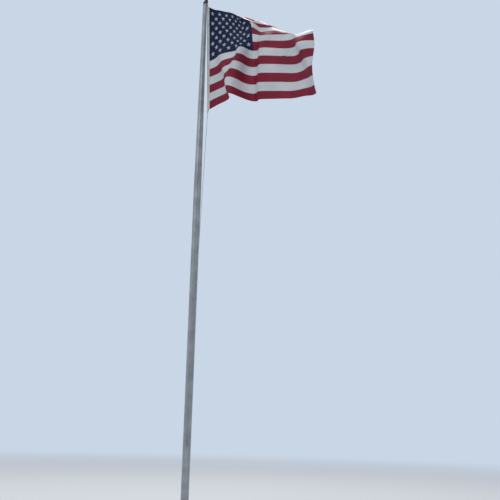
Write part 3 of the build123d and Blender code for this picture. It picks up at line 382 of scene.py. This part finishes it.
def drape(start, tilt, length):
    """The flying cloth as points [column, row, axis].

    From the canton's foot down, a row's heading towards the viewer is yaw + sum of turn * exp(-((s - place) /
    width)^2), s the share of the fly; it runs out by ds * cos(sink) along (cos heading, -sin heading), and each
    row hangs below the last by what is left of a row's depth, dz^2 = depth^2 - dx^2 - dy^2. From the canton's foot
    up, each column climbs by depth * cos(lean) and goes back by depth * sin(lean), and the folds fade row by row.
    """
    out, down = np.meshgrid(np.linspace(0, 1, columns + 1), np.linspace(0, 1, rows + 1), indexing="ij")
    depth = hoist / rows
    foot_share = canton_rows / rows
    low = np.maximum((down - foot_share) / (1 - foot_share), 0)
    heading = yaw[0] + (yaw[1] - yaw[0]) * low
    for turn, low_turn, place, low_place, width in folds:
        centre = place + (low_place - place) * low
        heading = heading + (turn + (low_turn - turn) * low) * np.exp(-(((out - centre) / width) ** 2))
    heading = np.radians(heading)
    slope = np.radians(sink[0] + sink[1] * out + sink[2] * out**2)

    def run(rate):
        """Adds a rate up along the fly, from nothing at the heading."""
        added = np.cumsum((rate[1:] + rate[:-1]) / 2, axis=0) * length / columns
        return np.concatenate([np.zeros((1, rows + 1)), added])

    x = start[0] + tilt[0] * down + run(np.cos(heading) * np.cos(slope))
    y = start[1] + tilt[1] * down - run(np.sin(heading) * np.cos(slope))
    plumb = math.sqrt(hoist**2 - tilt[0] ** 2 - tilt[1] ** 2) / hoist
    z = start[2] - plumb * hoist * down - run(np.sin(slope))
    least = 0.15 * depth
    left = depth**2 - np.diff(x, axis=1) ** 2 - np.diff(y, axis=1) ** 2
    drop = np.sqrt((left + least**2 + np.sqrt((left - least**2) ** 2 + 0.004 * depth**4)) / 2)
    for row in range(canton_rows, rows):
        z[:, row + 1] = z[:, row] - drop[:, row]
    shares = out[:, 0]
    bands = np.array([stripe / stripes for stripe, _ in lean_bands])
    leans = np.array([np.interp(shares, lean_at, angles) for _, angles in lean_bands])
    turned = np.radians(np.interp(shares, lean_at, sideways))
    plan = np.stack([x[:, canton_rows], y[:, canton_rows]], axis=-1)
    moved = np.zeros_like(plan)
    for row in range(canton_rows - 1, -1, -1):
        middle = (row + 0.5) / rows
        lean = np.radians([np.interp(middle, bands, column) for column in leans.T])
        aside = turned * np.clip((4.5 - middle * stripes) / 2, 0, 1)
        plan = soften(plan, fold_fade)
        back = depth * np.sin(lean)[:, None] * np.stack([np.sin(aside), np.cos(aside)], axis=-1)
        moved = moved + back - (1 - shares)[:, None] * np.array(tilt) / rows
        x[:, row], y[:, row] = (plan + moved).T
        z[:, row] = z[:, row + 1] + depth * np.cos(lean)
    cloth = np.stack([x, y, z], axis=-1)
    edge = np.stack([start[0] + tilt[0] * down[0],
                     start[1] + tilt[1] * down[0],
                     start[2] - plumb * hoist * down[0]], axis=-1)
    cloth = soften(cloth, 9)
    cloth = soften(cloth.transpose(1, 0, 2), 5).transpose(1, 0, 2)
    return np.concatenate([edge[None], cloth[1:]])


# The hoist leans with the taut halyard, and the heading runs off it 29 degrees towards the viewer.
hoist_lean, heading_yaw = (0.095, -0.030), math.radians(29)
hoist_line = np.array([*hoist_lean, -math.sqrt(hoist**2 - hoist_lean[0] ** 2 - hoist_lean[1] ** 2)]) / hoist
along = np.array([math.cos(heading_yaw), -math.sin(heading_yaw), 0.0])
along = along - hoist_line * (along @ hoist_line)
along = along / np.linalg.norm(along)
top_corner = np.array([0.054, -0.015, 10.585]) + along * (heading_width - sewn_in)
cloth = drape(top_corner, hoist_lean, fly - heading_width + sewn_in)


# Creases where the wind pulls the cloth taut, as (share of the fly, share of the hoist) at each end, how far the
# middle bows to the left, height and width, in metres: two slant down the canton, four lie across the ridge of
# the large fold, five near the fly end, one low at the hoist and three along the crest.
creases = (
    (0.028, 0.115, 0.300, 0.525, 0.09, 0.028, 0.042),
    (0.045, 0.055, 0.170, 0.120, 0.00, 0.018, 0.040),
    (0.225, 0.575, 0.310, 0.570, 0.00, 0.018, 0.050),
    (0.205, 0.700, 0.300, 0.710, 0.00, 0.018, 0.050),
    (0.215, 0.780, 0.300, 0.790, 0.00, 0.012, 0.045),
    (0.205, 0.865, 0.295, 0.885, 0.00, 0.016, 0.050),
    (0.655, 0.625, 0.700, 0.560, 0.00, 0.022, 0.034),
    (0.700, 0.605, 0.770, 0.545, 0.00, 0.022, 0.034),
    (0.640, 0.665, 0.710, 0.625, 0.00, 0.012, 0.034),
    (0.780, 0.745, 0.870, 0.700, 0.00, 0.014, 0.034),
    (0.890, 0.925, 0.990, 0.870, 0.00, 0.012, 0.034),
    (0.020, 0.930, 0.200, 0.800, 0.00, 0.008, 0.030),
    (0.420, 0.120, 0.640, 0.200, 0.00, 0.020, 0.030),
    (0.500, 0.060, 0.700, 0.240, 0.00, 0.016, 0.030),
    (0.440, 0.020, 0.560, 0.100, 0.00, 0.016, 0.026),
)


def doubled(grid):
    """The grid with a line put halfway between every two, and each new line's neighbours softened once."""
    finer = np.repeat(grid, 2, axis=0)[:-1]
    finer[1::2] = (grid[:-1] + grid[1:]) / 2
    return soften(finer, 2)


def facing(grid):
    """The cloth's unit normals at its points, from the slopes along its columns and rows, towards the viewer's side."""
    normal = np.cross(np.gradient(grid, axis=1), np.gradient(grid, axis=0))
    return normal / np.linalg.norm(normal, axis=-1, keepdims=True)


def creased(grid):
    """The cloth raised along its normals by height * exp(-(distance / width)^2) * sin(pi * share)^0.5 at each crease,
    share being the place along it, by ripples 2 mm high that slant across the fly, and by a flutter of the fly end
    that grows to 18 mm over its last eighth."""
    out, down = np.meshgrid(np.linspace(0, 1, grid.shape[0]), np.linspace(0, 1, grid.shape[1]), indexing="ij")
    raised = 0.002 * np.sin(34 * out + 9 * down) * np.sin(5 * out - 21 * down) * np.clip(out * 8, 0, 1)
    raised += 0.018 * np.clip(out * 8 - 7, 0, 1) ** 2 * np.sin(19 * down + 6 * out)
    for x0, y0, x1, y1, bow, height, width in creases:
        run, drop = (x1 - x0) * fly, (y1 - y0) * hoist
        length = math.hypot(run, drop)
        across, downward = (out - x0) * fly, (down - y0) * hoist
        share = np.clip((across * run + downward * drop) / length**2, 0, 1)
        off = (across * drop - downward * run) / length - 4 * bow * share * (1 - share)
        raised += height * np.exp(-((off / width) ** 2)) * np.sqrt(np.sin(np.pi * share))
    return grid + facing(grid) * raised[..., None]


cloth = creased(doubled(doubled(cloth).transpose(1, 0, 2)).transpose(1, 0, 2))
columns, rows, canton_columns, canton_rows = 2 * columns, 2 * rows, 2 * canton_columns, 2 * canton_rows


def nylon(name, worn, clean, sewn, gloss):
    """Woven nylon between two tones. Its UVs are metres of cloth: they place the weave, the hem at the fly end with
    its rows of stitching, and where sewn is 1 the lapped seam along each stripe's edges with its own. The weave is
    drawn 2 mm apart, as the real threads, of a tenth of a millimetre, are too fine to show, and the cloth has worn
    in patches of 450 mm."""
    material, tree = fresh(name)
    place = add(tree, "ShaderNodeUVMap", {"uv_map": "metres"})
    split = add(tree, "ShaderNodeSeparateXYZ", Vector=(place, 0))
    counted = add(tree, "ShaderNodeMath", {"operation": "DIVIDE"}, i0=(split, 1), i1=hoist / stripes)
    share = add(tree, "ShaderNodeMath", {"operation": "PINGPONG"}, i0=(counted, 0), i1=0.5)
    seam = add(tree, "ShaderNodeMapRange", Value=(share, 0), From_Min=0.05, From_Max=0.06, To_Min=sewn, To_Max=0.0)
    row = add(tree, "ShaderNodeMath", {"operation": "COMPARE"}, i0=(share, 0), i1=0.04, i2=0.006 * sewn)
    hem = add(tree, "ShaderNodeMapRange", Value=(split, 0), From_Min=fly - 0.034, From_Max=fly - 0.031)
    rows_apart = add(tree, "ShaderNodeMath", {"operation": "PINGPONG"}, i0=(split, 0), i1=0.0045)
    hem_row = add(tree, "ShaderNodeMath", {"operation": "LESS_THAN"}, i0=(rows_apart, 0), i1=0.0008)
    hem_rows = add(tree, "ShaderNodeMath", {"operation": "MULTIPLY"}, i0=(hem_row, 0), i1=(hem, 0))
    thick = add(tree, "ShaderNodeMath", {"operation": "MAXIMUM"}, i0=(seam, 0), i1=(hem, 0))
    stitch = add(tree, "ShaderNodeMath", {"operation": "MAXIMUM"}, i0=(row, 0), i1=(hem_rows, 0))
    clouds = add(tree, "ShaderNodeTexNoise", Vector=(place, 0), Scale=2.2, Detail=5.0, Roughness=0.55)
    tone = two_tones(tree, (clouds, 0), (0.35, worn), (0.65, clean))
    lapped = add(tree, "ShaderNodeMath", {"operation": "MULTIPLY_ADD"}, i0=(thick, 0), i1=-0.07, i2=1.0)
    worked = add(tree, "ShaderNodeMath", {"operation": "MULTIPLY_ADD"}, i0=(stitch, 0), i1=-0.12, i2=(lapped, 0))
    colour = add(tree, "ShaderNodeHueSaturation", Value=(worked, 0), Color=(tone, 0))
    warp = add(tree, "ShaderNodeTexWave", {"bands_direction": "X"}, Vector=(place, 0), Scale=160.0)
    weft = add(tree, "ShaderNodeTexWave", {"bands_direction": "Y"}, Vector=(place, 0), Scale=160.0)
    weave = add(tree, "ShaderNodeMath", {"operation": "MULTIPLY"}, i0=(warp, 1), i1=(weft, 1))
    woven = add(tree, "ShaderNodeBump", Strength=0.2, Distance=0.0004, Height=(weave, 0))
    raised = add(tree, "ShaderNodeBump", Strength=0.6, Distance=0.0015, Height=(thick, 0), Normal=(woven, 0))
    drawn = add(tree, "ShaderNodeBump", {"invert": True},
                Strength=0.6, Distance=0.001, Height=(stitch, 0), Normal=(raised, 0))
    cloth = add(tree, "ShaderNodeBsdfPrincipled", Base_Color=(colour, 0), Roughness=0.6, Normal=(drawn, 0))
    cloth.inputs["Specular IOR Level"].default_value = gloss
    add(tree, "ShaderNodeOutputMaterial", Surface=(cloth, 0))
    return material


# Painted shade: the white is written grey, and the red and navy darker, for the shaded face of the flag.
red_nylon = nylon("red woven nylon", "72182d", "841b33", 1.0, 0.2)
white_nylon = nylon("white woven nylon", "bcc1c7", "ccd0d5", 1.0, 0.3)
navy_nylon = nylon("navy woven nylon", "131c3a", "1a2547", 0.0, 0.12)

points = cloth.reshape(-1, 3)
corner = np.arange(columns)[:, None] * (rows + 1) + np.arange(rows)[None, :]
quads = np.stack([corner, corner + 1, corner + rows + 2, corner + rows + 1], axis=-1).reshape(-1, 4)
flag_mesh = bpy.data.meshes.new("flag_cloth")
flag_mesh.from_pydata(points.tolist(), [], quads.tolist())
across = heading_width + np.repeat(np.linspace(0, fly - heading_width, columns + 1), rows + 1)
downward = np.tile(np.linspace(0, hoist, rows + 1), columns + 1)
uv = flag_mesh.uv_layers.new(name="metres")
uv.data.foreach_set("uv", np.stack([across[quads], downward[quads]], axis=-1).ravel())
for material in (red_nylon, white_nylon, navy_nylon):
    flag_mesh.materials.append(material)
of_column, of_row = (grid.ravel() for grid in np.meshgrid(np.arange(columns), np.arange(rows), indexing="ij"))
in_canton = (of_column < canton_columns) & (of_row < canton_rows)
flag_mesh.polygons.foreach_set("material_index", np.where(in_canton, 2, of_row // (rows // stripes) % 2))
flag_mesh.polygons.foreach_set("use_smooth", np.ones(len(quads), bool))
flag = shown("flag_cloth", flag_mesh)
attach(flag, "truck")
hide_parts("flag")

# Stars: fifty five-pointed stars embroidered in white thread on both faces of the canton, in nine rows of six
# and five, each as wide as seven tenths of a stripe's depth, proud of the cloth. The rows of thread are drawn
# 1.7 mm apart, coarser than the real half millimetre, so that they show.
star_thread, tree = fresh("white embroidery thread")
place = add(tree, "ShaderNodeUVMap", {"uv_map": "metres"})
passes = add(tree, "ShaderNodeTexWave", {"bands_direction": "X"},
             Vector=(place, 0), Scale=190.0, Distortion=1.0, Detail=2.0)
# Painted shade: the white thread is written blue-grey, for the shaded canton.
tone = two_tones(tree, (passes, 1), (0.1, "a0a8b3"), (0.6, "b8bfc8"))
corded = add(tree, "ShaderNodeBump", Strength=0.5, Distance=0.0006, Height=(passes, 1))
thread = add(tree, "ShaderNodeBsdfPrincipled", Base_Color=(tone, 0), Roughness=0.7, Normal=(corded, 0))
thread.inputs["Specular IOR Level"].default_value = 0.05
add(tree, "ShaderNodeOutputMaterial", Surface=(thread, 0))


def on_cloth(grid, column, row):
    """Points of a grid at fractional columns and rows, mixed from the four around."""
    i = np.clip(column.astype(int), 0, columns - 1)
    j = np.clip(row.astype(int), 0, rows - 1)
    a, b = (column - i)[..., None], (row - j)[..., None]
    return ((1 - a) * (1 - b) * grid[i, j] + a * (1 - b) * grid[i + 1, j]
            + (1 - a) * b * grid[i, j + 1] + a * b * grid[i + 1, j + 1])


# A star is rings of a fifth to the whole of its outline, whose ten edges run straight between the tips and the
# inner corners; its rim is drawn down to the cloth and its middle is proud.
star_radius, inner_share, proud, rim, rings, edge = 0.0275 * hoist, 0.382, 0.0016, 0.0004, 5, 4
turn = np.radians(90 + 36 * np.arange(11))
corners = np.where(np.arange(11) % 2, inner_share, 1.0) * star_radius * np.stack([np.cos(turn), -np.sin(turn)])
steps = np.arange(10 * edge) / edge
outline = np.stack([np.interp(steps, np.arange(11), line) for line in corners], axis=-1)
shape = (np.arange(1, rings + 1)[:, None, None] / rings * outline).reshape(-1, 2)
shape = np.concatenate([np.zeros((1, 2)), shape])
stand = np.where(np.arange(len(shape)) < 1 + (rings - 1) * len(outline), proud, rim)
line, number = np.array([(line, number) for line in range(9) for number in range(1 + line % 2, 12, 2)]).T
column = canton_columns * number[:, None] / 12 + shape[:, 0] / (fly - heading_width) * columns
row = canton_rows * (line[:, None] + 1) / 10 + shape[:, 1] / hoist * rows
on, normals = on_cloth(cloth, column, row), on_cloth(facing(cloth), column, row)
k = np.arange(len(outline))
after = (k + 1) % len(outline)
middle = np.stack([0 * k, 1 + k, 1 + after], axis=-1)
bands = np.concatenate([np.stack([k, k + len(outline), after + len(outline), after], axis=-1) + 1 + ring * len(outline)
                        for ring in range(rings - 1)])
star_points, star_faces = [], []
for face, side in enumerate((1, -1)):
    star_points.append((on + side * stand[:, None] * normals).reshape(-1, 3))
    for star in range(len(line)):
        first = (face * len(line) + star) * len(shape)
        star_faces += (middle[:, ::side] + first).tolist() + (bands[:, ::side] + first).tolist()
star_mesh = bpy.data.meshes.new("flag_stars")
star_mesh.from_pydata(np.concatenate(star_points).tolist(), [], star_faces)
star_mesh.polygons.foreach_set("use_smooth", np.ones(len(star_faces), bool))
corner_of = np.zeros(len(star_mesh.loops), int)
star_mesh.loops.foreach_get("vertex_index", corner_of)
star_uv = star_mesh.uv_layers.new(name="metres")
star_uv.data.foreach_set("uv", np.tile(shape, (2 * len(line), 1))[corner_of].ravel())
star_mesh.materials.append(star_thread)
stars = shown("flag_stars", star_mesh)
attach(stars, "truck")


# Halyard: braided polyester of 8 mm over the sheave, snapped to the flag and made fast on the cleat. Its two
# long falls run from the turning head to the cleat, so they bend between the head and the pole. The strands of
# the braid are 2.9 mm apart, and it has soiled in patches of 50 mm.
braided_polyester, tree = fresh("braided polyester rope")
where = add(tree, "ShaderNodeTexCoord")
one_way = add(tree, "ShaderNodeMapping", Vector=(where, "Object"), Rotation=(0.6, 0.6, 0.0))
other_way = add(tree, "ShaderNodeMapping", Vector=(where, "Object"), Rotation=(-0.6, -0.6, 0.0))
strands = [
    add(tree, "ShaderNodeTexWave", {"bands_direction": "Z"}, Vector=(turned, 0), Scale=110.0, Distortion=0.2)
    for turned in (one_way, other_way)
]
braid = add(tree, "ShaderNodeMath", {"operation": "MAXIMUM"}, i0=(strands[0], 1), i1=(strands[1], 1))
soil = add(tree, "ShaderNodeTexNoise", Vector=(where, "Object"), Scale=20.0, Detail=4.0)
tone = two_tones(tree, (soil, 0), (0.3, "7b7a76"), (0.7, "a3a29d"))
fine = add(tree, "ShaderNodeBump", Strength=0.6, Distance=0.0008, Height=(braid, 0))
rope = add(tree, "ShaderNodeBsdfPrincipled", Base_Color=(tone, 0), Roughness=0.8, Normal=(fine, 0))
rope.inputs["Sheen Weight"].default_value = 0.1
add(tree, "ShaderNodeOutputMaterial", Surface=(rope, 0))
for node in ("halyard_crown", "halyard_lead", "halyard_span", "cleat_hitch", "upper_knot", "lower_knot"):
    wear(node, braided_polyester)


def smooth_line(route):
    """Points along the NURBS curve of order 3 that has the route's points as its control points."""
    curve = bpy.data.curves.new("route", "CURVE")
    curve.dimensions = "3D"
    spline = curve.splines.new("NURBS")
    spline.points.add(len(route) - 1)
    spline.points.foreach_set("co", np.insert(np.array(route), 3, 1.0, axis=1).ravel())
    spline.order_u, spline.use_endpoint_u, spline.resolution_u = 3, True, 24
    holder = bpy.data.objects.new("route", curve)
    mesh = bpy.data.meshes.new_from_object(holder)
    line = np.zeros(3 * len(mesh.vertices))
    mesh.vertices.foreach_get("co", line)
    bpy.data.objects.remove(holder)
    bpy.data.curves.remove(curve)
    bpy.data.meshes.remove(mesh)
    return line.reshape(-1, 3)


def tube(name, line, radius, sides, material):
    """A closed tube along a line: rings of sides points square to its direction, turned as little as may be."""
    ahead = np.gradient(line, axis=0)
    ahead /= np.linalg.norm(ahead, axis=1, keepdims=True)
    side = np.cross(ahead[0], (0.0, 1.0, 0.3))
    rings = []
    angle = np.radians(np.arange(sides) * 360 / sides)[:, None]
    for point, direction in zip(line, ahead):
        side = side - direction * (side @ direction)
        side = side / np.linalg.norm(side)
        rings.append(point + radius * (np.cos(angle) * side + np.sin(angle) * np.cross(direction, side)))
    n, last = len(line), (len(line) - 1) * sides
    faces = [[i * sides + k, i * sides + (k + 1) % sides, (i + 1) * sides + (k + 1) % sides, (i + 1) * sides + k]
             for i in range(n - 1) for k in range(sides)]
    faces += [list(range(sides))[::-1], [last + k for k in range(sides)]]
    mesh = bpy.data.meshes.new(name)
    mesh.from_pydata(np.concatenate(rings).tolist(), [], faces)
    mesh.polygons.foreach_set("use_smooth", np.ones(len(faces), bool))
    mesh.materials.append(material)
    return shown(name, mesh)


# Each fall as its two points at the head or knot, and where it comes down onto the cleat
rope_radius, rope_sides, cleat_top, run_in = 0.004, 12, 1.58, 1.64
for node, off, straight, foot in (
    ("halyard_haul", (0.0152, -0.0534, 10.715), (0.0152, -0.0534, 10.679), (-0.0309, -0.1174)),
    ("halyard_downhaul", (0.1480, -0.0438, 8.1259), (0.1423, -0.0404, 8.0966), (-0.0112, -0.1209)),
):
    route = (off, straight, (*foot, run_in), (*foot, cleat_top))
    fall_of_rope = tube(node + "_rope", smooth_line(route), rope_radius, rope_sides, braided_polyester)
    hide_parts(node)
    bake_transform(fall_of_rope)
